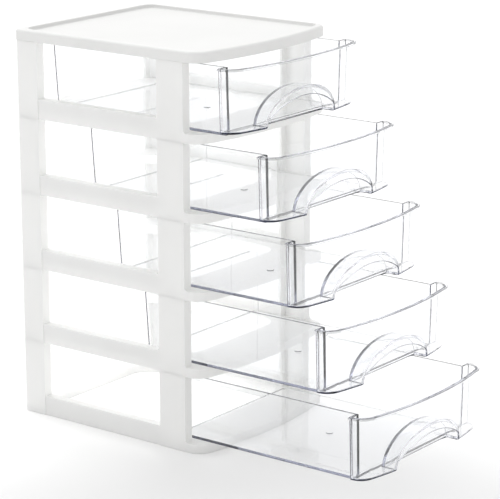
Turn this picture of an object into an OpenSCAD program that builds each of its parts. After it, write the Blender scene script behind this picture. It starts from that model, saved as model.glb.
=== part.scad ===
// Drawer tower: five push-fit tiers, each a white open frame that carries one
// clear drawer, under a shallow white lid. Millimetres, +Z up, drawers open
// towards -Y. The origin is the middle of the four sockets under the bottom
// tier, which is the middle of the posts' footprint.

/* [Tower] */
// Width over the posts
tower_w = 112.5; // [95:0.5:160]
// Depth over the posts, without the bowed front
tower_d = 115; // [98:0.5:180]
// Height of one tier, from its underside to the next tier's
tier_h = 41.8; // [36:0.2:60]
// Wall of the frames and the lid
frame_wall = 1.6; // [1.2:0.1:2]

/* [Frame] */
// Height of the sill at the front and of the rail at the rear
sill_h = 5; // [4.5:0.1:7]
// Height of the side rails
rail_h = 11; // [9:0.5:14]
// Width of the side rails' top, which is also the depth of the posts
rail_w = 5.6; // [5:0.1:7]
// How far the side rails stand back from the posts' outer faces
rail_setback = 0.4; // [0:0.1:0.6]
// Length of a front post along the side
front_post_l = 17.4; // [12:0.2:20]
// Length of a rear post along the side
rear_post_l = 15.4; // [12:0.2:20]
// Width of the ledge that carries the drawer, from the tower's side
ledge_w = 15; // [12:0.5:20]
// Width of the rear rail
rear_rail_w = 6.8; // [5:0.2:12]
// Width of the sill behind the front posts' faces
sill_back_w = 10; // [6:0.5:16]
// Corner radius of the opening in the shelf
shelf_corner_r = 12; // [4:0.5:20]
// Ribs under the sill
sill_ribs = 5; // [1:1:7]
// Height of the small fillet at the foot of each front post
foot_fillet = 2; // [1:0.1:3]

/* [Front] */
// How far the middle of the sill stands in front of the front posts
sill_bulge = 16.4; // [14:0.2:22]
// Radius of the bow across the front
bow_r = 240; // [150:5:400]
// Radius of the front corners
front_corner_r = 9; // [6:0.5:10]
// Radius of the rear corners
rear_corner_r = 2.5; // [2:0.1:4]

/* [Lid] */
// Height of the lid
lid_h = 6; // [5:0.2:9]
// How far the lid stands out past the tiers
lid_overhang = 0.4; // [0:0.1:1]
// Width of the raised rim
lid_rim_w = 4; // [3:0.2:6]
// Depth of the recess inside the rim
lid_recess = 1.8; // [1:0.1:2.4]

/* [Stacking pins] */
// Diameter of the pin on top of each post
pin_d = 3.6; // [3:0.1:4]
// Height of the pin
pin_h = 2.8; // [2:0.1:2.8]
// Clearance around the pin in its socket
pin_clearance = 0.1; // [0.05:0.05:0.2]
// Clearance above the pin in its socket
pin_end_gap = 0.3; // [0.2:0.1:0.5]
// Wall of the boss around each socket
boss_wall = 1.1; // [1:0.1:1.3]
// Distance from the posts' front or rear faces to the nearest pins' axes
pin_end = 8.2; // [7:0.1:8.4]

/* [Drawer] */
// How far the shut drawer's rear stands out behind the tower
drawer_tail = 1.6; // [-4:0.1:6]
// Wall of the drawer
drawer_wall = 1.2; // [1.2:0.1:2]
// Floor of the drawer
drawer_floor = 1.2; // [1.2:0.1:2.5]
// Gap between the drawer's rim and the rails on each side
side_gap = 0.75; // [0.4:0.05:1.5]
// Running gap between the drawer and its ledges
ledge_gap = 0.3; // [0.2:0.05:0.5]
// Gap between the drawer's rim and the tier above
rim_gap = 0.8; // [0.5:0.1:2]
// Gap between the ears and the front posts when the drawer is shut
ear_gap = 0.4; // [0.3:0.1:1]
// How far the ears stop short of the posts' outer faces
ear_inset = 0.5; // [0:0.1:1]
// How far the shut drawer's front stands behind the sill's
front_setback = 1; // [0.5:0.1:3]
// How far the drawer's wall leans in from rim to underside
draft = 1.4; // [0.4:0.1:2]
// Height of the front's underside above the box's underside
front_lift = 1.8; // [1.5:0.1:4]
// Radius of the drawer's rear corners
drawer_corner_r = 3; // [2.5:0.5:8]
// How far the rim bead stands out from the front
bead_out = 1.1; // [0.6:0.1:1.5]
// Height of the rim bead
bead_h = 1.2; // [1:0.1:4]

/* [Finger pull] */
// Width of the arched recess at its foot
pull_w = 59; // [40:1:66]
// Height of the arched recess
pull_h = 17.2; // [12:0.2:20]
// Distance from the ears' plane to the recess
pull_back = 4; // [3:0.2:5]
// Height of the visor's edge above the front's underside, at the middle
visor_h = 13.4; // [9:0.2:16]
// Radius of the visor's edge
visor_r = 51; // [40:1:80]

/* [Open drawers] */
// How far the bottom drawer stands open
open_1 = 104; // [0:0.5:106]
// How far the second drawer stands open
open_2 = 83; // [0:0.5:85]
// How far the third drawer stands open
open_3 = 64.5; // [0:0.5:80]
// How far the fourth drawer stands open
open_4 = 47; // [0:0.5:80]
// How far the top drawer stands open
open_5 = 22; // [0:0.5:80]

/* [Hidden] */

// Tiers are counted from the bottom
tiers = 5;
drawer_open = [open_1, open_2, open_3, open_4, open_5];
function tier_z(n) = (n - 1) * tier_h;

half_w = tower_w / 2;
half_d = tower_d / 2;
sill_front = half_d + sill_bulge;
// Where the side rails run into the posts
front_post_end = -half_d + front_post_l;
rear_post_end = half_d - rear_post_l;
rail_inner = half_w - rail_w;
rail_outer = half_w - rail_setback;

socket_d = pin_d + 2 * pin_clearance;
socket_h = pin_h + pin_end_gap;
boss_d = socket_d + 2 * boss_wall;
pin_x = rail_outer - boss_d / 2;
pin_y = half_d - pin_end;
rib_t = 1.2;
// Extra length that carries a cut past a face, and a small overlap of joined shapes
cut = 1;
overlap = 0.01;
// Least radius of an inner corner
least_corner_r = 0.5;

drawer_half_w = rail_inner - side_gap;
drawer_l = tower_d + ear_gap + drawer_tail;
ear_half_w = half_w - ear_inset;
drawer_h = tier_h - sill_h - ledge_gap - rim_gap;
lean = draft / drawer_h;
// Depth of the front compartment, from the ears to the middle of the bow
front_depth = sill_bulge - ear_gap - front_setback;
front_floor = front_lift + drawer_floor;
// A wide tower takes a flatter bow, so that the drawers' front corners stay in front of their ears
least_bow_r = (pow(ear_half_w - front_corner_r, 2) + pow(front_depth, 2) - pow(front_corner_r, 2))
              / (2 * (front_depth - front_corner_r));
bow = max(bow_r, least_bow_r);
// How far the box's inside runs on past the flange
flange_overlap = 0.2;
gate_mark_d = 4;
gate_mark_h = 0.3;
gate_mark_y = 50.5;

frame_white = [0.93, 0.93, 0.92];
clear_plastic = [0.86, 0.89, 0.95, 0.4];

corner_steps = 7;
bow_steps = 20;
pull_steps = 28;
visor_steps = 180;
$fn = 40;

// Points of an arc about c, from angle a to angle b
function arc(c, r, a, b, steps) =
    [for (i = [0:steps]) let (t = a + (b - a) * i / steps) c + r * [cos(t), sin(t)]];

// Bowed front from the left side to the right, with straight sides at +-side. It
// reaches -front in the middle, and its round corners run tangent
function bowed_front(side, front, radius, corner) =
    let (bow_y = radius - front,
         corner_x = side - corner,
         corner_y = bow_y - sqrt(pow(radius - corner, 2) - pow(corner_x, 2)),
         tangent = atan2(bow_y - corner_y, corner_x))
    concat(arc([-corner_x, corner_y], corner, 180, 180 + tangent, corner_steps),
           arc([0, bow_y], radius, 180 + tangent, 360 - tangent, bow_steps),
           arc([corner_x, corner_y], corner, 360 - tangent, 360, corner_steps));

// Flat rear from the right side to the left, with round corners
function flat_rear(side, rear, corner) =
    concat(arc([side - corner, rear - corner], corner, 0, 90, corner_steps),
           arc([-side + corner, rear - corner], corner, 90, 180, corner_steps));

// The tower's own outline, larger by grow all round
module tower_outline(grow = 0) {
    side = half_w + grow;
    polygon(concat(bowed_front(side, sill_front + grow, bow + grow, front_corner_r + grow),
                   flat_rear(side, half_d + grow, max(rear_corner_r + grow, least_corner_r))));
}

// Rectangle from x = -side to side and from front to rear, with round corners
module round_rectangle(side, front, rear, r) {
    polygon(concat(flat_rear(side, rear, r),
                   arc([-side + r, front + r], r, 180, 270, corner_steps),
                   arc([side - r, front + r], r, 270, 360, corner_steps)));
}

// The opening in the shelf, larger by grow all round
module shelf_opening(grow = 0) {
    round_rectangle(half_w - ledge_w + grow, -half_d + sill_back_w - grow,
                    half_d - rear_rail_w + grow, shelf_corner_r + grow);
}

// What belongs to one side, on both sides
module both_sides() {
    children();
    mirror([1, 0, 0]) children();
}

// What belongs to a stacking pin, at each of the four pins
module at_each_pin() {
    both_sides() for (y = [-pin_y, pin_y]) translate([pin_x, y, 0]) children();
}

// Block that spans the given ranges of x, y and z
module block(x, y, z) {
    translate([x[0], y[0], z[0]]) cube([x[1] - x[0], y[1] - y[0], z[1] - z[0]]);
}

// Box rail on the right side, open underneath, that runs a wall's thickness into both posts
module side_rail() {
    ends = [front_post_end - frame_wall, rear_post_end + frame_wall];
    block([rail_inner, rail_outer], ends, [rail_h - frame_wall, rail_h]);
    block([rail_outer - frame_wall, rail_outer], ends, [0, rail_h]);
    block([rail_inner, rail_inner + frame_wall], ends, [sill_h - frame_wall, rail_h]);
}

// Channel post on the right side from y = front to y = rear, open towards the
// drawer, with a top cap
module post(front, rear) {
    base = sill_h - frame_wall;
    block([half_w - frame_wall, half_w], [front, rear], [base, tier_h]);
    block([rail_inner, half_w], [front, front + frame_wall], [base, tier_h]);
    block([rail_inner, half_w], [rear - frame_wall, rear], [base, tier_h]);
    block([rail_inner, half_w], [front, rear], [tier_h - frame_wall, tier_h]);
}

// Fillet between the sill's top and the face of the right front post
module post_foot() {
    translate([rail_inner, -half_d, sill_h]) rotate([90, 0, 90]) linear_extrude(rail_w)
        polygon(concat([[0, 0]], arc([-foot_fillet, foot_fillet], foot_fillet, 0, -90, corner_steps)));
}

// Shelf ring: top ledge with a large opening, an outer and an inner skirt
module shelf_ring() {
    difference() {
        linear_extrude(sill_h) tower_outline();
        translate([0, 0, -cut]) linear_extrude(sill_h - frame_wall + cut) difference() {
            tower_outline(-frame_wall);
            shelf_opening(frame_wall);
        }
        translate([0, 0, -cut]) linear_extrude(sill_h + 2 * cut) shelf_opening();
        // The side rails stand back from the posts
        both_sides() block([rail_outer, half_w + cut], [front_post_end, rear_post_end],
                           [-cut, sill_h + cut]);
    }
}

// Ribs that stiffen the sill from below
module sill_rib_row() {
    pitch = tower_w / (sill_ribs + 1);
    intersection() {
        for (i = [1:sill_ribs]) translate([-half_w + i * pitch - rib_t / 2, -sill_front, frame_wall])
            cube([rib_t, sill_bulge + sill_back_w, sill_h - 1.5 * frame_wall]);
        linear_extrude(sill_h) difference() {
            tower_outline(-frame_wall / 2);
            shelf_opening(frame_wall / 2);
        }
    }
}

// One tier of the frame, n counted from the bottom
module tier_frame(n) {
    color(frame_white) translate([0, 0, tier_z(n)]) difference() {
        union() {
            shelf_ring();
            sill_rib_row();
            both_sides() {
                side_rail();
                post_foot();
                post(-half_d, front_post_end);
                post(rear_post_end, half_d);
            }
            at_each_pin() {
                cylinder(h = sill_h - frame_wall / 2, d = boss_d);
                translate([0, 0, tier_h - frame_wall / 2]) cylinder(h = pin_h + frame_wall / 2, d = pin_d);
            }
        }
        at_each_pin() translate([0, 0, -cut]) cylinder(h = socket_h + cut, d = socket_d);
    }
}

// The lid: outer skirt, raised rim and recessed top
module top_lid() {
    plate_top = lid_h - lid_recess;
    plate_bottom = plate_top - frame_wall;
    color(frame_white) translate([0, 0, tiers * tier_h]) difference() {
        union() {
            difference() {
                linear_extrude(lid_h) tower_outline(lid_overhang);
                translate([0, 0, plate_top]) linear_extrude(lid_recess + cut)
                    tower_outline(lid_overhang - lid_rim_w);
                translate([0, 0, -cut]) linear_extrude(plate_bottom + cut)
                    tower_outline(lid_overhang - frame_wall);
            }
            at_each_pin() cylinder(h = plate_bottom + frame_wall / 2, d = boss_d);
        }
        at_each_pin() translate([0, 0, -cut]) cylinder(h = socket_h + cut, d = socket_d);
    }
}

// Outline of the drawer's box from y = front to its rear, smaller by inset
module box_outline(inset = 0, front = 0) {
    side = drawer_half_w - inset;
    polygon(concat([[-side, front], [side, front]],
                   flat_rear(side, drawer_l - inset, drawer_corner_r - inset)));
}

// Outline of the drawer's front compartment up to y = 0, larger by grow at its other sides
module front_outline(grow = 0) {
    side = ear_half_w + grow;
    polygon(concat([[side, 0], [-side, 0]],
                   bowed_front(side, front_depth + grow, bow + grow, front_corner_r + grow)));
}

// Solid from z = bottom to the rim whose sides lean in towards the bottom. The
// outline is given at the rim, half_side wide each way and reach long from y = 0
module leaning(bottom, half_side, reach) {
    height = drawer_h - bottom;
    inward = lean * height;
    translate([0, 0, drawer_h]) mirror([0, 0, 1])
        linear_extrude(height, scale = [1 - inward / half_side, 1 - inward / reach], slices = 1)
            children();
}

// Half ellipse of the finger pull, larger by grow all round, above the front's underside
module pull_outline(grow = 0) {
    polygon([for (i = [0:pull_steps]) let (t = 180 * i / pull_steps)
             [(pull_w / 2 + grow) * cos(t), (pull_h + grow) * sin(t)]]);
}

// The finger pull's outline carried down through the front's underside
module open_below() {
    children();
    translate([-pull_w / 2, -cut]) square([pull_w, cut + overlap]);
}

// Upright extrusion from y = -far to y = -near, standing on the front's underside
module facing_front(near, far) {
    translate([0, -near, front_lift]) rotate([90, 0, 0]) linear_extrude(far - near) children();
}

// The box's inside, which opens into the front compartment above the step in the floor
module box_hollow() {
    difference() {
        leaning(drawer_floor, drawer_half_w, drawer_l)
            box_outline(drawer_wall, -drawer_wall - flange_overlap);
        block([-half_w, half_w], [-front_depth, drawer_wall], [0, front_floor]);
    }
}

// The front compartment's inside, from the flange that carries the ears forwards
module front_hollow() {
    difference() {
        leaning(front_floor, ear_half_w, front_depth) front_outline(-drawer_wall);
        block([-half_w, half_w], [-drawer_wall, cut], [0, drawer_h + cut]);
        facing_front(pull_back - drawer_wall, front_depth + cut) pull_outline(drawer_wall);
    }
}

// Recess for the fingers, behind the visor and open below
module pull_recess() {
    intersection() {
        linear_extrude(drawer_h) front_outline(-drawer_wall - draft);
        facing_front(pull_back, front_depth) open_below() pull_outline();
    }
    // Front opening below the visor's edge
    facing_front(pull_back, front_depth + cut) open_below() intersection() {
        pull_outline();
        translate([0, visor_h - visor_r]) circle(visor_r, $fn = visor_steps);
    }
}

// One drawer, n counted from the bottom, at the distance that it stands open
module drawer(n) {
    color(clear_plastic)
    translate([0, -half_d - ear_gap - drawer_open[n - 1], tier_z(n) + sill_h + ledge_gap]) {
        difference() {
            union() {
                leaning(0, drawer_half_w, drawer_l) box_outline();
                leaning(front_lift, ear_half_w, front_depth) front_outline();
                translate([0, 0, drawer_h - bead_h]) linear_extrude(bead_h) front_outline(bead_out);
            }
            box_hollow();
            front_hollow();
            pull_recess();
        }
        translate([0, gate_mark_y, drawer_floor]) cylinder(h = gate_mark_h, d = gate_mark_d);
    }
}

tier_frame(1);  // tier_frame_1
tier_frame(2);  // tier_frame_2
tier_frame(3);  // tier_frame_3
tier_frame(4);  // tier_frame_4
tier_frame(5);  // tier_frame_5
drawer(1);  // drawer_1
drawer(2);  // drawer_2
drawer(3);  // drawer_3
drawer(4);  // drawer_4
drawer(5);  // drawer_5
top_lid();
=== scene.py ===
"""Looks of a plastic drawer tower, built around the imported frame.

Five push-fit white tiers carry one clear drawer each under a shallow white lid.
Outlines are drawn in millimetres with bmesh operators, joined and hollowed with
Boolean modifiers, and handed over as meshes in metres.
"""

import logging
import math
from dataclasses import dataclass
from enum import Enum
from typing import ClassVar

import bmesh
import bpy
from mathutils import Matrix, Vector


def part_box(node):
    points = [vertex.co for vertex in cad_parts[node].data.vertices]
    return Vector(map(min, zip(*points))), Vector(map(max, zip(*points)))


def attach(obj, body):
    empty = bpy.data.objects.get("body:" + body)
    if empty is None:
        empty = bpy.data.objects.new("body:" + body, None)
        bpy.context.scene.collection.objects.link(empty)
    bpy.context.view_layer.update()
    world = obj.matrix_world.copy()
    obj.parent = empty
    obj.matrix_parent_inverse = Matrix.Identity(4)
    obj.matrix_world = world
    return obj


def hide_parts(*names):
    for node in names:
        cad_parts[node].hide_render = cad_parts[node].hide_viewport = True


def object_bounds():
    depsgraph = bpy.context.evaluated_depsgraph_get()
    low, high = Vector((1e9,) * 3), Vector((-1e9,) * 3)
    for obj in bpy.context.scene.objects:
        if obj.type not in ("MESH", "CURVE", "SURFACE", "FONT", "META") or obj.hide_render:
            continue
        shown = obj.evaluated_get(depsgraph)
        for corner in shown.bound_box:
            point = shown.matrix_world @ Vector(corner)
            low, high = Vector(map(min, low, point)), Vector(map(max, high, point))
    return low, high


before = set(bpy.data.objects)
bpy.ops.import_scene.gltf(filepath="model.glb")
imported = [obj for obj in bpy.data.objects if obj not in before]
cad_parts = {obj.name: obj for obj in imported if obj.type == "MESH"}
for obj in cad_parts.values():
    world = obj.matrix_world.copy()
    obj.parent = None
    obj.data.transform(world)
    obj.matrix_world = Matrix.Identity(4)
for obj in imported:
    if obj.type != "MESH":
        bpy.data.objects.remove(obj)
CAD_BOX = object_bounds()

MM = 0.001
TIERS = range(1, 6)
ROUND_STEPS = 8
BOW_STEPS = 36
PAST_SIDES = (-60.0, 60.0)
BOUNCES = 32
DIFFUSE_BOUNCES = 12
LOG = logging.getLogger("drawer_tower")


class Join(Enum):
    """How a tool solid acts on the solid that it meets."""

    ADD = "UNION"
    CUT = "DIFFERENCE"
    KEEP = "INTERSECT"


class Axis(Enum):
    """Direction in which an outline is drawn out into a solid."""

    UP = "up"
    FORWARD = "forward"


class Slot(Enum):
    """The record's material slots."""

    WHITE = "frame_white"
    CLEAR = "drawer_clear"


def add_object(name: str, data: bpy.types.ID) -> bpy.types.Object:
    """Adds an object to the scene.

    Args:
        name: Its name.
        data: Its mesh, light or camera.

    Returns:
        The object.
    """
    made = bpy.data.objects.new(name, data)
    bpy.context.scene.collection.objects.link(made)
    return made


def mesh_of(bm: bmesh.types.BMesh, name: str) -> bpy.types.Mesh:
    """Writes a bmesh into a new mesh and frees it.

    Args:
        bm: The bmesh.
        name: Name of the mesh.

    Returns:
        The mesh.
    """
    mesh = bpy.data.meshes.new(name)
    bm.to_mesh(mesh)
    bm.free()
    return mesh


class Pen:
    """Draws a closed outline with bmesh operators, one vertex at a time."""

    def __init__(self, x: float, y: float) -> None:
        """Starts an outline at (x, y)."""
        self.bm = bmesh.new()
        self.tip = self.bm.verts.new((x, y, 0.0))

    def line(self, x: float, y: float) -> "Pen":
        """Draws a straight edge.

        Args:
            x: Where the edge ends, in millimetres.
            y: Where the edge ends, in millimetres.

        Returns:
            The pen itself.
        """
        made = bmesh.ops.extrude_vert_indiv(self.bm, verts=[self.tip])
        self.tip = made["verts"][0]
        self.tip.co = Vector((x, y, 0.0))
        return self

    def arc(self, x: float, y: float, degrees: float, steps: int = ROUND_STEPS) -> "Pen":
        """Swings the tip round a centre.

        Args:
            x: Centre of the arc.
            y: Centre of the arc.
            degrees: Angle of the swing, anticlockwise.
            steps: Number of edges in the arc.

        Returns:
            The pen itself.
        """
        made = bmesh.ops.spin(
            self.bm, geom=[self.tip], cent=(x, y, 0.0), axis=(0.0, 0.0, 1.0), dvec=(0.0, 0.0, 0.0),
            angle=math.radians(degrees), steps=steps, use_merge=False, use_duplicate=False,
        )
        self.tip = next(item for item in made["geom_last"] if isinstance(item, bmesh.types.BMVert))
        return self

    def closed(self) -> bmesh.types.BMesh:
        """Closes the outline and fills it.

        Returns:
            A bmesh that holds the one flat face.
        """
        bmesh.ops.remove_doubles(self.bm, verts=self.bm.verts[:], dist=0.001)
        bmesh.ops.contextual_create(self.bm, geom=self.bm.verts[:] + self.bm.edges[:])
        bmesh.ops.recalc_face_normals(self.bm, faces=self.bm.faces[:])
        return self.bm


@dataclass(frozen=True)
class Bow:
    """Bowed front with round corners, between straight sides.

    half: Half of the width.
    depth: Reach of the bow's middle in front of y = 0.
    radius: Radius of the bow.
    corner: Radius of the front corners.
    """

    half: float
    depth: float
    radius: float
    corner: float

    def grown(self, by: float) -> "Bow":
        """The same bow, larger by the same distance all round."""
        return Bow(self.half + by, self.depth + by, self.radius + by, self.corner + by)

    def start(self) -> tuple[float, float]:
        """Where the left corner's arc begins on the side."""
        return -self.half, self.corner_y()

    def corner_y(self) -> float:
        """Y of the corner arcs' centres."""
        reach = math.sqrt((self.radius - self.corner) ** 2 - (self.half - self.corner) ** 2)
        return self.radius - self.depth - reach

    def draw(self, pen: Pen) -> Pen:
        """Draws the left corner, the bow and the right corner.

        Args:
            pen: A pen whose tip stands at start().

        Returns:
            The pen, at the far end of the right corner.
        """
        centre = self.half - self.corner
        swing = math.degrees(math.atan2(self.radius - self.depth - self.corner_y(), centre))
        pen.arc(-centre, self.corner_y(), swing)
        pen.arc(0.0, self.radius - self.depth, 180.0 - 2.0 * swing, BOW_STEPS)
        return pen.arc(centre, self.corner_y(), swing)


class Solid:
    """A closed solid in the making, as a scene object in millimetres."""

    def __init__(self, name: str, bm: bmesh.types.BMesh) -> None:
        """Takes over the bmesh and frees it."""
        bmesh.ops.recalc_face_normals(bm, faces=bm.faces[:])
        self.piece = add_object(name, mesh_of(bm, name))

    def join(self, tool: "Solid", how: Join) -> "Solid":
        """Adds, cuts or keeps what a tool solid covers, and removes the tool.

        Args:
            tool: The solid that acts on this one.
            how: The way it acts.

        Returns:
            This solid.
        """
        modifier = self.piece.modifiers.new(how.name, "BOOLEAN")
        modifier.operation = how.value
        modifier.solver = "EXACT"
        modifier.object = tool.piece
        self.bake_modifiers()
        tool.discard()
        return self

    def bake_modifiers(self) -> None:
        """Writes the modifiers' result into the mesh."""
        graph = bpy.context.evaluated_depsgraph_get()
        made = bpy.data.meshes.new_from_object(self.piece.evaluated_get(graph))
        old = self.piece.data
        self.piece.modifiers.clear()
        self.piece.data = made
        bpy.data.meshes.remove(old)

    def discard(self) -> None:
        """Removes the solid from the scene."""
        mesh = self.piece.data
        bpy.data.objects.remove(self.piece)
        bpy.data.meshes.remove(mesh)


def draw_out(bm: bmesh.types.BMesh, low: float, high: float, axis: Axis = Axis.UP) -> None:
    """Draws a flat outline out into a prism.

    Args:
        bm: Bmesh with one flat face at z = 0.
        low: Where the prism begins, along Z, or along -Y for a forward prism.
        high: Where it ends.
        axis: Direction of the prism.
    """
    made = bmesh.ops.extrude_face_region(bm, geom=bm.faces[:])
    top = [item for item in made["geom"] if isinstance(item, bmesh.types.BMVert)]
    bmesh.ops.translate(bm, verts=top, vec=(0.0, 0.0, high - low))
    bmesh.ops.translate(bm, verts=bm.verts[:], vec=(0.0, 0.0, low))
    if axis is Axis.FORWARD:
        turn = Matrix.Rotation(math.radians(90.0), 3, "X")
        bmesh.ops.rotate(bm, verts=bm.verts[:], cent=(0.0, 0.0, 0.0), matrix=turn)


def foot_edges(bm: bmesh.types.BMesh, z: float, least_y: float = -math.inf) -> list[bmesh.types.BMEdge]:
    """Finds the edges that lie level at a height, where two faces meet at an angle.

    Args:
        bm: Bmesh to search, in millimetres.
        z: Height of the edges.
        least_y: The line in plan that they lie behind.

    Returns:
        The edges.
    """
    slack, least_turn = 0.01, 0.5
    return [
        edge for edge in bm.edges
        if all(abs(v.co.z - z) < slack and v.co.y > least_y for v in edge.verts)
        and len(edge.link_faces) == 2 and edge.calc_face_angle(0.0) > least_turn
    ]


def round_edges(
    bm: bmesh.types.BMesh, edges: list[bmesh.types.BMEdge], width: float, segments: int, clamp: bool = True
) -> None:
    """Rounds edges off.

    Args:
        bm: Bmesh that holds them.
        edges: Edges to round.
        width: Width of the round on each side of an edge.
        segments: Number of faces across the round.
        clamp: Whether the width gives way everywhere to the tightest spot.
    """
    bmesh.ops.bevel(
        bm, geom=edges, offset=width, offset_type="OFFSET", segments=segments, profile=0.5,
        affect="EDGES", clamp_overlap=clamp, material=-1,
    )


def block(x: tuple[float, float], y: tuple[float, float], z: tuple[float, float]) -> bmesh.types.BMesh:
    """Makes a box.

    Args:
        x: Range that it spans along X.
        y: Range along Y.
        z: Range along Z.

    Returns:
        The box.
    """
    bm = bmesh.new()
    bmesh.ops.create_cube(bm, size=1.0)
    bmesh.ops.scale(bm, verts=bm.verts[:], vec=(x[1] - x[0], y[1] - y[0], z[1] - z[0]))
    middle = ((x[0] + x[1]) / 2, (y[0] + y[1]) / 2, (z[0] + z[1]) / 2)
    bmesh.ops.translate(bm, verts=bm.verts[:], vec=middle)
    return bm


@dataclass(frozen=True)
class Moulding:
    """A moulded piece's name, the node that it stands for, its body and its material slot, which is not
    used.
    """

    name: str
    node: str
    body: str
    slot: Slot

    def hand_over(
        self, piece: bpy.types.Object, finish: bpy.types.Material, bevel: float = 0.0, angle: float = 0.0
    ) -> bpy.types.Object:
        """Names, softens, dresses and seats a finished piece.

        Args:
            piece: The piece, with its mesh in metres.
            finish: Its material.
            bevel: Width of the round on its edges, in metres, or nought for none.
            angle: Least angle between faces whose edge is rounded, in degrees.

        Returns:
            The piece.
        """
        piece.name = self.name
        piece.data.name = self.name
        piece.data.materials.clear()
        piece.data.materials.append(finish)
        piece.data.polygons.foreach_set("use_smooth", [True] * len(piece.data.polygons))
        if bevel > 0.0:
            soft = piece.modifiers.new("soft_edges", "BEVEL")
            soft.width = bevel
            soft.segments = 2
            soft.limit_method = "ANGLE"
            soft.angle_limit = math.radians(angle)
            soft.profile = 0.5
            soft.miter_outer = "MITER_ARC"
            soft.use_clamp_overlap = True
            soft.harden_normals = False
        flat = piece.modifiers.new("even_shading", "WEIGHTED_NORMAL")
        flat.mode = "FACE_AREA"
        flat.weight = 60
        flat.keep_sharp = True
        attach(piece, self.body)
        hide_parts(self.node)
        LOG.info("%s rides on %s, %d faces", piece.name, self.body, len(piece.data.polygons))
        return piece


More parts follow.
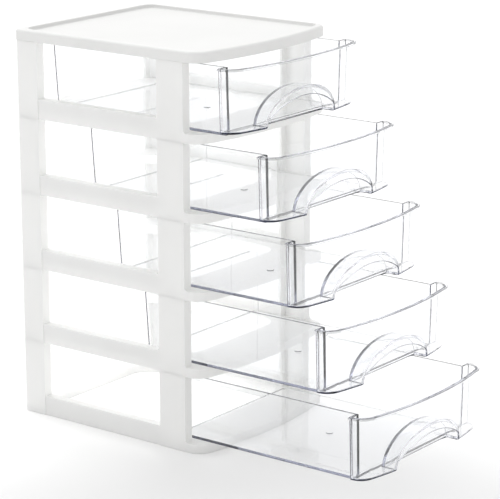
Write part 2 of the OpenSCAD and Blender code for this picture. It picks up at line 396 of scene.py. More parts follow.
@dataclass
class Drawer:
    """One clear drawer: a drafted box, a bowed front with ears, a bead and a finger pull.

    All sizes are in millimetres. The drawer stands on z = 0 with its ears' plane at y = 0.

    half, length, height: Size of the box at its rim, as far back as y = length.
    lean: How far each side has come in at the bottom.
    front_lift: Height of the front compartment's underside.
    pull_half, pull_high: Half width and height of the finger pull's arch.
    pull_back: How far in front of the ears the wall behind the visor is.
    visor_high, visor_radius: Height and radius of the visor's curved edge.
    gate_y, gate_width, gate_high: Place and size of the disc that the moulding gate left.
    spare: How far a cutting solid reaches past what it cuts, at the least.
    slack: How near to a plane an edge counts as lying in it.
    edge_round, strong_round, pull_round: Rounds on plain edges, on the ears and under the pull.
    edge_width, strip_width: Faces narrower than these may get painted shade, for the dark lines that the
    clear plastic shows at its edges.
    side_turn: Range of the normal's Y in which a strip of a rear corner gets painted shade.
    rim_zone: Depth below the rim in which an outer edge's painted shade is as dark as rim_painted_shade
    says.
    rim_painted_shade, inner_edge_painted_shade, inner_upright_painted_shade: How dark the painted shade is,
    where other outer edges have 1.
    """

    half: float = 49.9
    length: float = 117.0
    height: float = 35.7
    wall: float = 1.2
    floor: float = 1.2
    lean: float = 1.4
    rear_corner: float = 3.0
    front: Bow = Bow(half=55.75, depth=15.0, radius=240.0, corner=9.0)
    front_lift: float = 1.8
    bead_out: float = 1.1
    bead_high: float = 1.2
    pull_half: float = 29.5
    pull_high: float = 17.2
    pull_back: float = 4.0
    visor_high: float = 13.4
    visor_radius: float = 51.0
    gate_y: float = 50.5
    gate_width: float = 4.0
    gate_high: float = 0.3
    spare: float = 1.0
    slack: float = 0.05
    foot_round: float = 0.45
    front_foot_round: float = 1.2
    inner_foot_round: float = 0.5
    edge_round: float = 0.34
    strong_round: float = 0.7
    pull_round: float = 1.1
    sharp_angle: float = 35.0
    # Painted shade: where the clear plastic is marked dark, for the dark lines that its edges show by
    # refraction.
    edge_width: float = 0.4
    strip_width: float = 1.6
    side_turn: tuple[float, float] = (0.15, 0.5)
    rim_zone: float = 2.0
    rim_painted_shade: float = 0.5
    inner_edge_painted_shade: float = 0.12
    inner_upright_painted_shade: float = 0.4

    @property
    def front_floor(self) -> float:
        """Top of the front compartment's floor."""
        return self.front_lift + self.floor

    @property
    def rim(self) -> float:
        """Height that a hollow is drawn out to, past the rim."""
        return self.height + self.spare

    def drafted(
        self, bm: bmesh.types.BMesh, low: float, high: float, half: float, reach: float
    ) -> bmesh.types.BMesh:
        """Draws an outline out into a prism whose sides lean in towards the bottom.

        Args:
            bm: Bmesh with the outline's face, as it is at the rim.
            low: Bottom of the prism.
            high: Top of the prism.
            half: Half width that the lean is measured at.
            reach: Reach along Y that the lean is measured at.

        Returns:
            The same bmesh.
        """
        draw_out(bm, low, high)
        for z in (low, high):
            inward = self.lean * (self.height - z) / self.height
            ring = [v for v in bm.verts if abs(v.co.z - z) < 1e-4]
            bmesh.ops.scale(bm, verts=ring, vec=(1.0 - inward / half, 1.0 - inward / reach, 1.0))
        return bm

    def box_outline(self, inset: float, front: float) -> bmesh.types.BMesh:
        """Draws the plan of the box.

        Args:
            inset: How much smaller it is at its sides and rear.
            front: Y of its front.

        Returns:
            The outline.
        """
        side, rear, corner = self.half - inset, self.length - inset, self.rear_corner - inset
        pen = Pen(-side, front).line(side, front).line(side, rear - corner)
        pen.arc(side - corner, rear - corner, 90.0, 6).line(-side + corner, rear)
        return pen.arc(-side + corner, rear - corner, 90.0, 6).closed()

    def front_outline(self, grow: float) -> bmesh.types.BMesh:
        """Draws the plan of the front compartment, up to the ears' plane.

        Args:
            grow: How much larger it is at its bow and sides.

        Returns:
            The outline.
        """
        bow = self.front.grown(grow)
        pen = bow.draw(Pen(*bow.start()))
        return pen.line(bow.half, 0.0).line(-bow.half, 0.0).closed()

    def pull_arch(self, grow: float, near: float, far: float, open_below: bool = True) -> Solid:
        """Builds the upright half ellipse of the finger pull.

        Args:
            grow: How much larger it is all round.
            near: Distance of its rear face in front of the ears.
            far: Distance of its front face.
            open_below: Whether it runs down through the front's underside.

        Returns:
            The solid.
        """
        half, high = self.pull_half + grow, self.pull_high + grow
        bm = Pen(half, 0.0).arc(0.0, 0.0, 180.0, 40).closed()
        bmesh.ops.scale(bm, verts=bm.verts[:], vec=(1.0, high / half, 1.0))
        draw_out(bm, near, far, Axis.FORWARD)
        bmesh.ops.translate(bm, verts=bm.verts[:], vec=(0.0, 0.0, self.front_lift))
        arch = Solid("pull_arch", bm)
        if open_below:
            below = (self.front_lift - self.spare, self.front_lift + 0.01)
            arch.join(Solid("below", block((-half, half), (-far, -near), below)), Join.ADD)
        return arch

    def outside(self) -> Solid:
        """Builds the box, the front compartment and the rim bead, with rounded feet.

        Returns:
            The solid.
        """
        box = self.drafted(self.box_outline(0.0, 0.0), 0.0, self.height, self.half, self.length)
        round_edges(box, foot_edges(box, 0.0, least_y=1.0), self.foot_round, 3)
        front = self.drafted(
            self.front_outline(0.0), self.front_lift, self.height, self.front.half, self.front.depth
        )
        foot = [edge for edge in foot_edges(front, self.front_lift) if self.faces_forward(edge)]
        round_edges(front, foot, self.front_foot_round, 5)
        bead = self.front_outline(self.bead_out)
        draw_out(bead, self.height - self.bead_high, self.height)
        shell = Solid("shell", box)
        return shell.join(Solid("front", front), Join.ADD).join(Solid("bead", bead), Join.ADD)

    def faces_forward(self, edge: bmesh.types.BMEdge) -> bool:
        """True for an edge that doesn't lie in the ears' plane."""
        return any(v.co.y < -0.5 for v in edge.verts)

    def box_hollow(self) -> Solid:
        """Builds the box's inside, with rounded foot, above the step in the floor.

        Returns:
            The solid to cut away.
        """
        outline = self.box_outline(self.wall, -self.wall - 0.2)
        bm = self.drafted(outline, self.floor, self.rim, self.half, self.length)
        round_edges(bm, foot_edges(bm, self.floor, least_y=1.0), self.inner_foot_round, 3)
        step = block(PAST_SIDES, (-self.front.depth, self.wall), (0.0, self.front_floor))
        return Solid("box_hollow", bm).join(Solid("step", step), Join.CUT)

    def front_hollow(self) -> Solid:
        """Builds the front compartment's inside, around the finger pull's own wall.

        Returns:
            The solid to cut away.
        """
        outline = self.front_outline(-self.wall)
        bm = self.drafted(outline, self.front_floor, self.rim, self.front.half, self.front.depth)
        flange = block(PAST_SIDES, (-self.wall, 2.0 * self.spare), (0.0, self.rim + self.spare))
        hollow = Solid("front_hollow", bm).join(Solid("flange", flange), Join.CUT)
        far = self.front.depth + self.spare
        wall = self.pull_arch(self.wall, self.pull_back - self.wall, far, open_below=False)
        return hollow.join(wall, Join.CUT)

    def recess(self) -> Solid:
        """Builds the room for the fingers behind the visor, open below.

        Returns:
            The solid to cut away.
        """
        room = self.front_outline(-self.wall - self.lean)
        draw_out(room, -self.spare, self.height)
        return Solid("room", room).join(self.pull_arch(0.0, self.pull_back, self.front.depth), Join.KEEP)

    def visor_opening(self) -> Solid:
        """Builds the opening in the front, below the visor's curved edge.

        Returns:
            The solid to cut away.
        """
        bm = bmesh.new()
        bmesh.ops.create_circle(bm, cap_ends=True, segments=160, radius=self.visor_radius)
        draw_out(bm, self.pull_back, self.front.depth + self.spare, Axis.FORWARD)
        middle = self.front_lift + self.visor_high - self.visor_radius
        bmesh.ops.translate(bm, verts=bm.verts[:], vec=(0.0, 0.0, middle))
        near, far = self.pull_back + 3.0 * self.spare, self.front.depth + 0.9 * self.spare
        return self.pull_arch(0.0, near, far).join(Solid("visor", bm), Join.KEEP)

    def gate_mark(self) -> Solid:
        """Builds the small raised disc that the moulding gate left on the floor.

        Returns:
            The solid to add.
        """
        bm = bmesh.new()
        radius = self.gate_width / 2
        bmesh.ops.create_cone(
            bm, cap_ends=True, segments=24, radius1=radius, radius2=radius - 0.2, depth=2 * self.gate_high,
        )
        bmesh.ops.translate(bm, verts=bm.verts[:], vec=(0.0, self.gate_y, self.floor))
        return Solid("gate", bm)

    def sharp_edges(self, bm: bmesh.types.BMesh) -> list[bmesh.types.BMEdge]:
        """Finds the edges to round, without those of the gate's small disc.

        Args:
            bm: The drawer.

        Returns:
            The edges.
        """
        gate, least_turn = Vector((0.0, self.gate_y, self.floor)), math.radians(self.sharp_angle)
        return [
            edge for edge in bm.edges
            if len(edge.link_faces) == 2 and edge.calc_face_angle(0.0) > least_turn
            and (edge.verts[0].co - gate).length > self.gate_width
        ]

    def strong_edges(self, bm: bmesh.types.BMesh) -> list[bmesh.types.BMEdge]:
        """Finds the ears' outer rear edges and the box's lower front edge, which are rounder.

        Args:
            bm: The drawer.

        Returns:
            The edges.
        """
        ear = self.front.half - self.lean - 0.3
        bead = self.height - self.bead_high + 0.1
        return [
            edge for edge in self.sharp_edges(bm)
            if all(abs(v.co.y) < self.slack for v in edge.verts) and (
                all(abs(v.co.x) > ear and v.co.z < bead for v in edge.verts)
                or all(v.co.z < self.slack for v in edge.verts)
            )
        ]

    def pull_edges(self, bm: bmesh.types.BMesh) -> list[bmesh.types.BMEdge]:
        """Finds the foot of the wall behind the visor, which is rounder still.

        Args:
            bm: The drawer.

        Returns:
            The edges.
        """
        top = self.front_lift + self.slack
        return [
            edge for edge in self.sharp_edges(bm)
            if all(abs(v.co.y + self.pull_back) < self.slack and v.co.z < top for v in edge.verts)
        ]

    def mark_painted_shade(self, bm: bmesh.types.BMesh) -> None:
        """Marks the faces that get painted shade in the material, for the dark lines at the clear plastic's
        edges.

        Args:
            bm: The drawer, in millimetres.
        """
        # Layer that holds the painted shade for the clear material.
        edge = bm.faces.layers.float.new(ClearPlastic.SHADE_LAYER)
        for face in bm.faces:
            width = 2.0 * face.calc_area() / max(face.calc_perimeter(), 1e-6)
            if width < self.edge_width:
                face[edge] = self.painted_edge_shade(face)
            elif width < self.strip_width and self.is_upright(face) and self.is_strip(face):
                face[edge] = 1.0

    def painted_edge_shade(self, face: bmesh.types.BMFace) -> float:
        """How dark the painted shade on a narrow face of a rounded edge is.

        Args:
            face: The face, in millimetres.

        Returns:
            Most for an outer edge, less for the rim's, and least for an inner edge.
        """
        if sum(side.calc_face_angle_signed(0.0) for side in face.edges) < 0.0:
            return self.inner_upright_painted_shade if self.is_upright(face) else self.inner_edge_painted_shade
        return self.rim_painted_shade if face.calc_center_median().z > self.height - self.rim_zone else 1.0

    def is_upright(self, face: bmesh.types.BMFace) -> bool:
        """True for a long face that stands upright."""
        return abs(face.normal.z) < 0.2 and face.calc_perimeter() > self.height

    def is_strip(self, face: bmesh.types.BMFace) -> bool:
        """True for the box's face under the front compartment, and a strip of a rear corner.

        Args:
            face: The face, in millimetres.

        Returns:
            Whether it is one of them.
        """
        at = face.calc_center_median()
        if abs(at.y) < 2.0 * self.slack and at.z < self.front_lift:
            return True
        behind = at.y > self.length - self.rear_corner - 2.0 * self.slack
        least, most = self.side_turn
        return behind and face.normal.x * at.x > 0.0 and least < face.normal.y < most

    def mesh(self) -> bpy.types.Mesh:
        """Builds the drawer once, in metres, standing at its own origin.

        Returns:
            The mesh.
        """
        shell = self.outside()
        for hollow in (self.box_hollow(), self.front_hollow(), self.recess(), self.visor_opening()):
            shell.join(hollow, Join.CUT)
        shell.join(self.gate_mark(), Join.ADD)
        bm = bmesh.new()
        bm.from_mesh(shell.piece.data)
        bmesh.ops.remove_doubles(bm, verts=bm.verts[:], dist=0.004)
        bmesh.ops.dissolve_degenerate(bm, dist=0.002, edges=bm.edges[:])
        round_edges(bm, self.pull_edges(bm), self.pull_round, 5, clamp=False)
        round_edges(bm, self.strong_edges(bm), self.strong_round, 3, clamp=False)
        round_edges(bm, self.sharp_edges(bm), self.edge_round, 2, clamp=False)
        bmesh.ops.delete(bm, geom=[edge for edge in bm.edges if not edge.link_faces], context="EDGES")
        bmesh.ops.holes_fill(bm, edges=[edge for edge in bm.edges if edge.is_boundary], sides=4)
        bmesh.ops.recalc_face_normals(bm, faces=bm.faces[:])
        self.mark_painted_shade(bm)
        bmesh.ops.scale(bm, verts=bm.verts[:], vec=(MM, MM, MM))
        shell.discard()
        return mesh_of(bm, "drawer_shape")

    def place(self, shape: bpy.types.Mesh, number: int, finish: bpy.types.Material) -> bpy.types.Object:
        """Puts a copy of the drawer where its node stands.

        Args:
            shape: The mesh from mesh().
            number: The drawer's number, counted from the bottom.
            finish: Clear plastic.

        Returns:
            The piece.
        """
        node = f"drawer_{number}"
        low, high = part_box(node)
        copy = shape.copy()
        copy.transform(Matrix.Translation((0.0, high.y - self.length * MM, high.z - self.height * MM)))
        piece = add_object(node, copy)
        piece.visible_diffuse = False
        return Moulding(f"clear_drawer_{number}", node, node, Slot.CLEAR).hand_over(piece, finish)


@dataclass
class TopLid:
    """The shallow lid: a skirt with a soft raised rim round a recessed top.

    All sizes are in millimetres; the skirt stands on the top tier.

    rear, front: How far the sides reach behind and in front of the middle.
    overhang: How far the skirt stands out over its outline.
    rim: Width of the rim, and recess is the depth of the top inside it.
    boss_x, boss_y, boss_width: Place and size of the four bosses for the tier's pins.
    """

    bow: Bow = Bow(half=56.25, depth=16.4, radius=240.0, corner=9.0)
    rear: float = 57.5
    front: float = 57.5
    rear_corner: float = 2.5
    overhang: float = 0.4
    height: float = 6.0
    rim: float = 4.0
    recess: float = 1.8
    wall: float = 1.6
    boss_x: float = 52.85
    boss_y: float = 49.3
    boss_width: float = 6.0
    boss_lift: float = 0.02
    socket_width: float = 3.8
    socket_deep: float = 3.1
    rim_round: float = 1.7
    foot_round: float = 0.3
    pan_corner: float = 5.5
    pan_round: float = 0.8
    inner_corner: float = 1.3
    edge_round: float = 0.25
    sharp_angle: float = 50.0
    spare: float = 1.0

    @property
    def plate(self) -> float:
        """Height of the recessed top."""
        return self.height - self.recess

    def outline(self, grow: float, rear_corner: float) -> bmesh.types.BMesh:
        """Draws the plan of the lid.

        Args:
            grow: How much larger it is all round.
            rear_corner: Radius of its rear corners.

        Returns:
            The outline.
        """
        bow, rear = self.bow.grown(grow), self.rear + self.front + grow
        pen = bow.draw(Pen(*bow.start()))
        pen.line(bow.half, rear - rear_corner)
        pen.arc(bow.half - rear_corner, rear - rear_corner, 90.0)
        pen.line(-bow.half + rear_corner, rear)
        pen.arc(-bow.half + rear_corner, rear - rear_corner, 90.0)
        bm = pen.closed()
        bmesh.ops.translate(bm, verts=bm.verts[:], vec=(0.0, -self.front, 0.0))
        return bm

    def skirt(self) -> Solid:
        """Builds the outer body with its rim rolled over at the top and a small lip at the foot.

        Returns:
            The solid.
        """
        bm = self.outline(self.overhang, self.rear_corner + self.overhang)
        draw_out(bm, 0.0, self.height)
        round_edges(bm, foot_edges(bm, self.height), self.rim_round, 6)
        round_edges(bm, foot_edges(bm, 0.0), self.foot_round, 2)
        return Solid("lid", bm)

    def pan(self) -> Solid:
        """Builds the recess inside the rim, with rounder rear corners than the skirt's.

        Returns:
            The solid to cut away.
        """
        bm = self.outline(self.overhang - self.rim, self.pan_corner)
        draw_out(bm, self.plate, self.height + self.spare)
        round_edges(bm, foot_edges(bm, self.plate), self.pan_round, 3)
        return Solid("pan", bm)

    def hollow(self) -> Solid:
        """Builds the room inside the skirt, under the recessed top.

        Returns:
            The solid to cut away.
        """
        bm = self.outline(self.overhang - self.wall, self.inner_corner)
        draw_out(bm, -self.spare, self.plate - self.wall)
        return Solid("hollow", bm)

    def peg(self, x: float, y: float, width: float, low: float, high: float) -> Solid:
        """Builds a round peg.

        Args:
            x: X of its axis.
            y: Y of its axis.
            width: Its diameter.
            low: Height of its lower end.
            high: Height of its upper end.

        Returns:
            The solid.
        """
        bm = bmesh.new()
        bmesh.ops.create_circle(bm, cap_ends=True, segments=40, radius=width / 2)
        draw_out(bm, low, high)
        bmesh.ops.translate(bm, verts=bm.verts[:], vec=(x, y, 0.0))
        return Solid("peg", bm)

    def build(self, finish: bpy.types.Material) -> bpy.types.Object:
        """Builds the lid on the top tier.

        Args:
            finish: White plastic.

        Returns:
            The piece.
        """
        lid = self.skirt().join(self.pan(), Join.CUT).join(self.hollow(), Join.CUT)
        boss_top = self.plate - self.wall / 2
        for x in (-self.boss_x, self.boss_x):
            for y in (-self.boss_y, self.boss_y):
                lid.join(self.peg(x, y, self.boss_width, self.boss_lift, boss_top), Join.ADD)
                lid.join(self.peg(x, y, self.socket_width, -self.spare, self.socket_deep), Join.CUT)
        low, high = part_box("top_lid")
        lid.piece.data.transform(Matrix.Scale(MM, 4))
        lid.piece.data.transform(Matrix.Translation((0.0, 0.0, low.z)))
        maker = Moulding("white_lid", "top_lid", "tower", Slot.WHITE)
        return maker.hand_over(lid.piece, finish, self.edge_round * MM, self.sharp_angle)


@dataclass
class TierFrame:
    """One white tier, taken from its own node and given the soft edges of a moulding.

    Sizes are in millimetres.

    number: Counted from the bottom.
    edge_round: Width of the round on every edge that turns by more than sharp_angle.
    rear_round: Width of the round on the rear posts' outer corners.
    least_post: Length of the shortest edge that is a post's.
    """

    number: int
    edge_round: float = 0.4
    rear_round: float = 2.3
    sharp_angle: float = 40.0
    least_post: float = 10.0

    def rear_corners(self, bm: bmesh.types.BMesh) -> list[bmesh.types.BMEdge]:
        """Finds the outer upright edges of the rear posts.

        Args:
            bm: The tier, in metres.

        Returns:
            The edges.
        """
        side, rear, slack = max(v.co.x for v in bm.verts), max(v.co.y for v in bm.verts), 0.1 * MM
        return [
            edge for edge in bm.edges
            if all(abs(abs(v.co.x) - side) < slack and abs(v.co.y - rear) < slack for v in edge.verts)
            and edge.calc_length() > self.least_post * MM
        ]

    def build(self, finish: bpy.types.Material) -> bpy.types.Object:
        """Softens the tier.

        Args:
            finish: White plastic.

        Returns:
            The piece.
        """
        node = f"tier_frame_{self.number}"
        bm = bmesh.new()
        bm.from_mesh(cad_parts[node].data)
        bmesh.ops.remove_doubles(bm, verts=bm.verts[:], dist=1e-6)
        bmesh.ops.dissolve_limit(
            bm, angle_limit=math.radians(0.4), use_dissolve_boundaries=False, verts=bm.verts[:],
            edges=bm.edges[:], delimit=set(),
        )
        round_edges(bm, self.rear_corners(bm), self.rear_round * MM, 4)
        piece = add_object(node, mesh_of(bm, node))
        maker = Moulding(f"white_tier_{self.number}", node, "tower", Slot.WHITE)
        return maker.hand_over(piece, finish, self.edge_round * MM, self.sharp_angle)


Source = bpy.types.NodeSocket | float | tuple[float, ...]


class Mix(Enum):
    """Kinds of Mix node, each with the numbers of its two inputs and of its output."""

    COLOUR = ("RGBA", 6, 7, 2)
    NUMBER = ("FLOAT", 2, 3, 0)


class NodeBoard:
    """A node tree with short calls to add and feed nodes."""

    def __init__(self, tree: bpy.types.NodeTree) -> None:
        """Wraps a node tree."""
        self.tree = tree

    def feed(self, source: Source, target: bpy.types.NodeSocket) -> None:
        """Links a socket to an input, or sets the input's plain value.

        Args:
            source: The socket or the value.
            target: The input.
        """
        if isinstance(source, bpy.types.NodeSocket):
            self.tree.links.new(source, target)
        else:
            target.default_value = source

    def node(
        self, kind: str, *sources: Source, settings: dict[str, object] | None = None, **inputs: Source
    ) -> bpy.types.Node:
        """Adds a node.

        Args:
            kind: Its type, without ShaderNode.
            sources: What its first inputs are fed with, in order.
            settings: Its properties.
            inputs: What other inputs are fed with, by name, with _ for a space.

        Returns:
            The node.
        """
        made = self.tree.nodes.new(f"ShaderNode{kind}")
        for name, value in (settings or {}).items():
            setattr(made, name, value)
        for source, target in zip(sources, made.inputs):
            self.feed(source, target)
        for name, source in inputs.items():
            self.feed(source, made.inputs[name.replace("_", " ")])
        return made

    def math(self, operation: str, *sources: Source, clamp: bool = False) -> bpy.types.NodeSocket:
        """Adds a Math node and gives its result."""
        return self.node("Math", *sources, settings={"operation": operation, "use_clamp": clamp}).outputs[0]

    def measure(self, operation: str, first: Source, second: Source) -> bpy.types.NodeSocket:
        """Adds a Vector Math node and gives the number that it works out."""
        return self.node("VectorMath", first, second, settings={"operation": operation}).outputs["Value"]

    def blend(self, kind: Mix, share: Source, first: Source, second: Source) -> bpy.types.NodeSocket:
        """Goes from one colour or number to another.

        Args:
            kind: Whether they are colours or numbers.
            share: Nought for the first, one for the second.
            first: The first of them.
            second: The second of them.

        Returns:
            The result.
        """
        data_type, low, high, result = kind.value
        made = self.node("Mix", share, settings={"data_type": data_type})
        self.feed(first, made.inputs[low])
        self.feed(second, made.inputs[high])
        return made.outputs[result]

    def spread(
        self, value: bpy.types.NodeSocket, start: tuple[float, float] = (0.0, 1.0),
        end: tuple[float, float] = (0.0, 1.0), curve: str = "SMOOTHSTEP",
    ) -> bpy.types.NodeSocket:
        """Maps a value from one range to another.

        Args:
            value: The value.
            start: The range that it is read in.
            end: The range that it is turned into.
            curve: How it goes from one end to the other.

        Returns:
            The result.
        """
        return self.node(
            "MapRange", settings={"interpolation_type": curve}, Value=value,
            From_Min=start[0], From_Max=start[1], To_Min=end[0], To_Max=end[1],
        ).outputs["Result"]


def fresh_board(owner: bpy.types.Material | bpy.types.World) -> NodeBoard:
    """Clears the nodes of a material or world.

    Args:
        owner: The material or world.

    Returns:
        Its empty board.
    """
    owner.use_nodes = True
    owner.node_tree.nodes.clear()
    return NodeBoard(owner.node_tree)


class MouldedSurface:
    """Node group for injection-moulded plastic: slow drift of tint and gloss, and fine grain."""

    NAME: ClassVar[str] = "moulded_surface"
    DRIFT_RANGE: ClassVar[tuple[float, float]] = (0.3, 0.7)
    GRAIN_MIDDLE: ClassVar[float] = 0.5

    def group(self) -> bpy.types.NodeTree:
        """Builds the group once.

        Returns:
            The group, with colour, roughness and height outputs.
        """
        found = bpy.data.node_groups.get(self.NAME)
        if found:
            return found
        tree = bpy.data.node_groups.new(self.NAME, "ShaderNodeTree")
        for name in ("Colour", "Drift Colour"):
            tree.interface.new_socket(name, in_out="INPUT", socket_type="NodeSocketColor")
        for name in ("Drift Scale", "Grain Scale", "Roughness", "Roughness Spread"):
            tree.interface.new_socket(name, in_out="INPUT", socket_type="NodeSocketFloat")
        tree.interface.new_socket("Colour", in_out="OUTPUT", socket_type="NodeSocketColor")
        for name in ("Roughness", "Height"):
            tree.interface.new_socket(name, in_out="OUTPUT", socket_type="NodeSocketFloat")
        board = NodeBoard(tree)
        given, out = tree.nodes.new("NodeGroupInput").outputs, tree.nodes.new("NodeGroupOutput").inputs
        place = board.node("TexCoord").outputs["Object"]
        drift = board.node("TexNoise", Vector=place, Scale=given["Drift Scale"], Detail=2.0, Roughness=0.5)
        grain = board.node("TexNoise", Vector=place, Scale=given["Grain Scale"], Detail=3.0, Roughness=0.6)
        share = board.spread(drift.outputs["Fac"], self.DRIFT_RANGE)
        board.feed(board.blend(Mix.COLOUR, share, given["Colour"], given["Drift Colour"]), out["Colour"])
        offset = board.math("SUBTRACT", grain.outputs["Fac"], self.GRAIN_MIDDLE)
        gloss = board.math(
            "MULTIPLY_ADD", offset, given["Roughness Spread"], given["Roughness"], clamp=True
        )
        board.feed(gloss, out["Roughness"])
        board.feed(grain.outputs["Fac"], out["Height"])
        return tree

    def dress(
        self, board: NodeBoard, shader: bpy.types.Node, relief: tuple[float, float], **inputs: Source
    ) -> bpy.types.NodeSocket:
        """Puts the group into a material, and gives a shader its roughness and relief.

        Args:
            board: Node tree of the material.
            shader: The shader.
            relief: Strength of the grain's relief, and its height in metres.
            inputs: What the group is given.

        Returns:
            The colour, for the shader's base.
        """
        surface = board.node("Group", settings={"node_tree": self.group()}, **inputs)
        bump = board.node("Bump", Strength=relief[0], Distance=relief[1], Height=surface.outputs["Height"])
        board.feed(surface.outputs["Roughness"], shader.inputs["Roughness"])
        board.feed(bump.outputs["Normal"], shader.inputs["Normal"])
        return surface.outputs["Colour"]


@dataclass(frozen=True)
class WhitePlastic:
    """Satin white moulded plastic.

    drift: Colour that it goes towards in patches.
    grain: Scale of the fine grain.
    depth: Share of the light that scatters below the surface, as far as depth_scale in metres.
    """

    name: str = "white_plastic"
    colour: tuple[float, float, float] = (0.87, 0.87, 0.86)
    drift: tuple[float, float, float] = (0.845, 0.845, 0.835)
    roughness: float = 0.42
    grain: float = 900.0
    depth: float = 0.25
    depth_scale: float = 0.004

    def material(self) -> bpy.types.Material:
        """Builds the material.

        Returns:
            The material.
        """
        made = bpy.data.materials.new(self.name)
        board = fresh_board(made)
        shader = board.node(
            "BsdfPrincipled", IOR=1.49, Subsurface_Weight=self.depth, Subsurface_Scale=self.depth_scale,
            Subsurface_Radius=(1.0, 0.97, 0.93),
        )
        colour = MouldedSurface().dress(
            board, shader, relief=(0.12, 0.00006), Colour=(*self.colour, 1.0),
            Drift_Colour=(*self.drift, 1.0), Drift_Scale=22.0, Grain_Scale=self.grain,
            Roughness=self.roughness, Roughness_Spread=0.25,
        )
        board.feed(colour, shader.inputs["Base Color"])
        board.node("OutputMaterial", Surface=shader.outputs[0])
        return made


@dataclass(frozen=True)
class ClearPlastic:
    """Clear polished plastic with painted shade: it turns blue-black where its mesh is marked, for the dark
    lines that refraction shows at its edges.

    drift: Colour that it goes towards in patches.
    edge: Colour of the painted shade on a marked face.
    from_inside: Share of that darkness that is left on the inner side of the face.
    inside: Colour of the plastic as light goes through, and density is how fast it takes that on.
    shade: What is left of the light in its shadow.
    """

    SHADE_LAYER: ClassVar[str] = "painted_shade_face"

    name: str = "clear_plastic"
    colour: tuple[float, float, float] = (0.996, 0.998, 1.0)
    drift: tuple[float, float, float] = (0.99, 0.994, 1.0)
    # Painted shade colour for marked faces.
    edge: tuple[float, float, float] = (0.0015, 0.002, 0.008)
    from_inside: float = 0.35
    roughness: float = 0.015
    ior: float = 1.53
    inside: tuple[float, float, float] = (0.40, 0.43, 0.58)
    density: float = 15.0
    shade: tuple[float, float, float] = (0.972, 0.974, 0.976)

    def painted_shade_share(self, board: NodeBoard) -> bpy.types.NodeSocket:
        """Builds the share of painted shade: as the faces are marked, and less from inside.

        Args:
            board: Node tree of the material.

        Returns:
            A socket between nought and one.
        """
        kind = {"attribute_type": "GEOMETRY", "attribute_name": self.SHADE_LAYER}
        mark = board.node("Attribute", settings=kind).outputs["Fac"]
        inner = board.node("NewGeometry").outputs["Backfacing"]
        return board.math("MULTIPLY", mark, board.spread(inner, end=(1.0, self.from_inside), curve="LINEAR"))

    def material(self) -> bpy.types.Material:
        """Builds the material.

        Returns:
            The material.
        """
        made = bpy.data.materials.new(self.name)
        board = fresh_board(made)
        share = self.painted_shade_share(board)
        shader = board.node(
            "BsdfPrincipled", IOR=self.ior, Transmission_Weight=1.0,
            # Painted shade also dims the highlights on marked faces.
            Specular_Tint=board.math("SUBTRACT", 1.0, share),
        )
        colour = MouldedSurface().dress(
            board, shader, relief=(0.06, 0.0002), Colour=(*self.colour, 1.0),
            Drift_Colour=(*self.drift, 1.0), Drift_Scale=30.0, Grain_Scale=160.0,
            Roughness=self.roughness, Roughness_Spread=0.02,
        )
        # Painted shade: marked faces go blue-black, standing in for the dark lines of refraction at edges.
        painted_shade_colour = board.blend(Mix.COLOUR, share, colour, (*self.edge, 1.0))
        board.feed(painted_shade_colour, shader.inputs["Base Color"])
        shadow = board.node("LightPath").outputs["Is Shadow Ray"]
        let_through = board.node("BsdfTransparent", Color=(*self.shade, 1.0))
        surface = board.node("MixShader", shadow, shader.outputs[0], let_through.outputs[0])
        volume = board.node("VolumeAbsorption", Color=(*self.inside, 1.0), Density=self.density)
        board.node("OutputMaterial", Surface=surface.outputs[0], Volume=volume.outputs[0])
        return made


@dataclass(frozen=True)
class View:
    """The camera: where it aims, from where, and how long its lens is."""

    target: tuple[float, float, float] = (0.076201, 0.0, 0.073582)
    azimuth: float = -52.808
    elevation: float = 14.920
    distance: float = 1.33236
    roll: float = -0.075
    lens: float = 165.197

    def make(self) -> bpy.types.Object:
        """Adds the camera and makes it the scene's own.

        Returns:
            The camera object.
        """
        around, above = math.radians(self.azimuth), math.radians(self.elevation)
        away = Vector((
            math.sin(around) * math.cos(above), -math.cos(around) * math.cos(above), math.sin(above),
        ))
        right = (-away).cross(Vector((0.0, 0.0, 1.0))).normalized()
        top = right.cross(-away)
        turn = math.radians(self.roll)
        x_axis = right * math.cos(turn) + top * math.sin(turn)
        y_axis = top * math.cos(turn) - right * math.sin(turn)
        data = bpy.data.cameras.new("camera")
        data.sensor_width = 36.0
        data.lens = self.lens
        data.clip_start, data.clip_end = 0.05, 50.0
        camera = add_object("camera", data)
        rotation = Matrix((x_axis, y_axis, away)).transposed().to_4x4()
        camera.matrix_world = Matrix.Translation(Vector(self.target) + away * self.distance) @ rotation
        bpy.context.scene.camera = camera
        return camera


@dataclass(frozen=True)
class Lamp:
    """A soft distant lamp: where its light comes from, its strength and its spread."""

    name: str
    source: tuple[float, float, float]
    strength: float
    spread: float

    def make(self) -> bpy.types.Object:
        """Adds the lamp.

        Returns:
            The lamp object.
        """
        data = bpy.data.lights.new(self.name, "SUN")
        data.energy = self.strength
        data.angle = math.radians(self.spread)
        lamp = add_object(self.name, data)
        lamp.rotation_mode = "QUATERNION"
        lamp.rotation_quaternion = Vector(self.source).to_track_quat("Z", "Y")
        return lamp


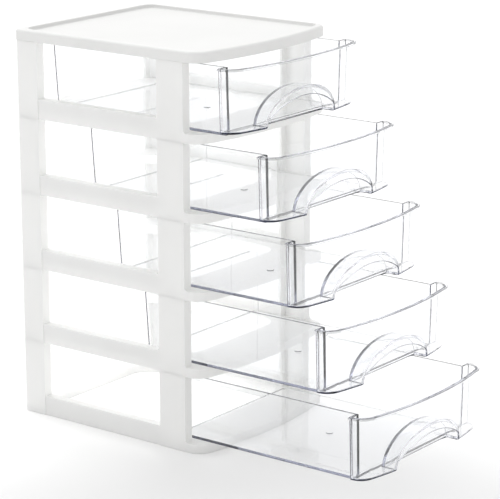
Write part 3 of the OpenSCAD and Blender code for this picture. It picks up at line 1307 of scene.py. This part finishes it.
@dataclass(frozen=True)
class Studio:
    """Pale floor with a painted shadow round the tower, white surroundings and soft light that is strongest
    from one side.

    fill: Strength of the surroundings as a light, on average.
    lean: How much stronger and weaker they are towards and away from the bright side.
    bright_side: Direction of the bright side.
    floor_painted_shadow: Colour of the painted shadow on the floor round the tower, and floor_far that of
    the rest.
    floor_glow: How much the floor glows where it is looked at, near and far; the lesser glow near is part of
    the painted shadow.
    floor_middle: Point that the two are told apart from, between the distances floor_reach.
    floor_half: Half of the floor's side, and floor_gap is how far it lies below the tower.
    dark_above: What polished plastic sees overhead, above the white horizon.
    dark_from: Sines of the heights between which the white gives way to it.
    inner_power: Strength of the lamp inside each tier, and inner_radius is its size.
    key: The lamp that casts the shadows.
    """

    fill: float = 0.78
    lean: float = 0.16
    bright_side: tuple[float, float, float] = (-0.45, 0.55, 0.3)
    floor_painted_shadow: tuple[float, float, float] = (0.78, 0.78, 0.78)
    floor_far: tuple[float, float, float] = (0.92, 0.92, 0.92)
    floor_glow: tuple[float, float] = (0.05, 0.14)
    floor_middle: tuple[float, float, float] = (-0.21, -0.24, 0.0)
    floor_reach: tuple[float, float] = (0.17, 0.33)
    floor_half: float = 20.0
    floor_gap: float = 0.0001
    dark_above: float = 0.85
    dark_from: tuple[float, float] = (0.42, 0.72)
    inner_power: float = 0.022
    inner_radius: float = 0.015
    key: Lamp = Lamp("key", source=(0.45, 0.8, 1.5), strength=1.25, spread=60.0)

    def seen_share(self, board: NodeBoard) -> bpy.types.NodeSocket:
        """Builds a switch for what is looked at.

        Args:
            board: Node tree that it is for.

        Returns:
            One where the camera, a reflection or clear plastic looks, and nought elsewhere.
        """
        path = board.node("LightPath").outputs
        seen = path["Is Camera Ray"]
        for name in ("Is Glossy Ray", "Is Transmission Ray"):
            seen = board.math("MAXIMUM", seen, path[name])
        return seen

    def surroundings(self) -> None:
        """White where they are looked at, and a soft light that leans to one side."""
        world = bpy.data.worlds.new("surroundings")
        board = fresh_board(world)
        towards = board.node("TexCoord").outputs["Generated"]
        share = board.measure("DOT_PRODUCT", towards, self.bright_side)
        light_level = board.math("MULTIPLY_ADD", share, self.lean * self.fill, self.fill)
        height = board.node("SeparateXYZ", towards).outputs["Z"]
        overhead = board.spread(height, self.dark_from, (1.0, self.dark_above))
        strength = board.blend(Mix.NUMBER, self.seen_share(board), light_level, overhead)
        light = board.node("Background", Color=(1.0, 1.0, 1.0, 1.0), Strength=strength)
        board.node("OutputWorld", Surface=light.outputs[0])
        bpy.context.scene.world = world

    def floor_finish(self) -> bpy.types.Material:
        """Builds the floor's material, with a painted shadow that makes it greyer round the tower.

        Returns:
            The material.
        """
        made = bpy.data.materials.new("floor")
        board = fresh_board(made)
        # Painted shadow: greyer and glowing less within floor_reach of floor_middle, in front of the tower.
        away = board.measure("DISTANCE", board.node("TexCoord").outputs["Object"], self.floor_middle)
        far = board.spread(away, self.floor_reach)
        painted_shadow_tone = board.blend(Mix.COLOUR, far, (*self.floor_painted_shadow, 1.0), (*self.floor_far, 1.0))
        glow = board.spread(far, end=self.floor_glow, curve="LINEAR")
        matt = board.node("BsdfDiffuse", Color=painted_shadow_tone)
        shine = board.node("Emission", Strength=board.math("MULTIPLY", self.seen_share(board), glow))
        both = board.node("AddShader", matt.outputs[0], shine.outputs[0])
        board.node("OutputMaterial", Surface=both.outputs[0])
        return made

    def floor(self) -> bpy.types.Object:
        """Lays a wide pale floor that keeps the shadow.

        Returns:
            The floor.
        """
        bm = bmesh.new()
        bmesh.ops.create_grid(bm, x_segments=8, y_segments=8, size=self.floor_half)
        floor = add_object("floor", mesh_of(bm, "floor"))
        floor.location.z = CAD_BOX[0].z - self.floor_gap
        floor.data.materials.append(self.floor_finish())
        return floor

    def inner_lamps(self) -> None:
        """Adds a faint lamp in each tier, for the light that thin white walls let in."""
        for number in TIERS:
            low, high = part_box(f"tier_frame_{number}")
            data = bpy.data.lights.new(f"inner_{number}", "POINT")
            data.energy, data.shadow_soft_size = self.inner_power, self.inner_radius
            lamp = add_object(data.name, data)
            lamp.location = (0.0, 0.0, (low.z + high.z) / 2)
            lamp.visible_camera = lamp.visible_glossy = lamp.visible_transmission = False

    def make(self) -> None:
        """Adds the surroundings, the floor and the lamps."""
        self.surroundings()
        self.floor()
        self.inner_lamps()
        self.key.make()
        bpy.context.scene.view_settings.view_transform = "Standard"


def let_light_through() -> None:
    """Lets light bounce often enough to pass the walls of several clear drawers."""
    cycles = bpy.context.scene.cycles
    cycles.max_bounces = BOUNCES
    cycles.diffuse_bounces = DIFFUSE_BOUNCES
    cycles.transmission_bounces = BOUNCES
    cycles.glossy_bounces = BOUNCES
    cycles.transparent_max_bounces = BOUNCES


def main() -> None:
    """Builds the tower piece by piece, then the studio and the camera."""
    logging.basicConfig(level=logging.INFO, format="%(message)s")
    white, clear = WhitePlastic().material(), ClearPlastic().material()
    # Painted shade: the lid is given a greyer white than the tiers, so that its skirt looks darker, and no
    # light below its surface.
    shaded_lid_finish = WhitePlastic("white_plastic_lid_shaded", (0.82, 0.82, 0.81), (0.80, 0.80, 0.79), depth=0.0)
    TopLid().build(shaded_lid_finish.material())
    drawer = Drawer()
    shape = drawer.mesh()
    for number in TIERS:
        TierFrame(number).build(white)
        drawer.place(shape, number, clear)
    bpy.data.meshes.remove(shape)
    Studio().make()
    View().make()
    let_light_through()


if __name__ == "__main__":
    main()
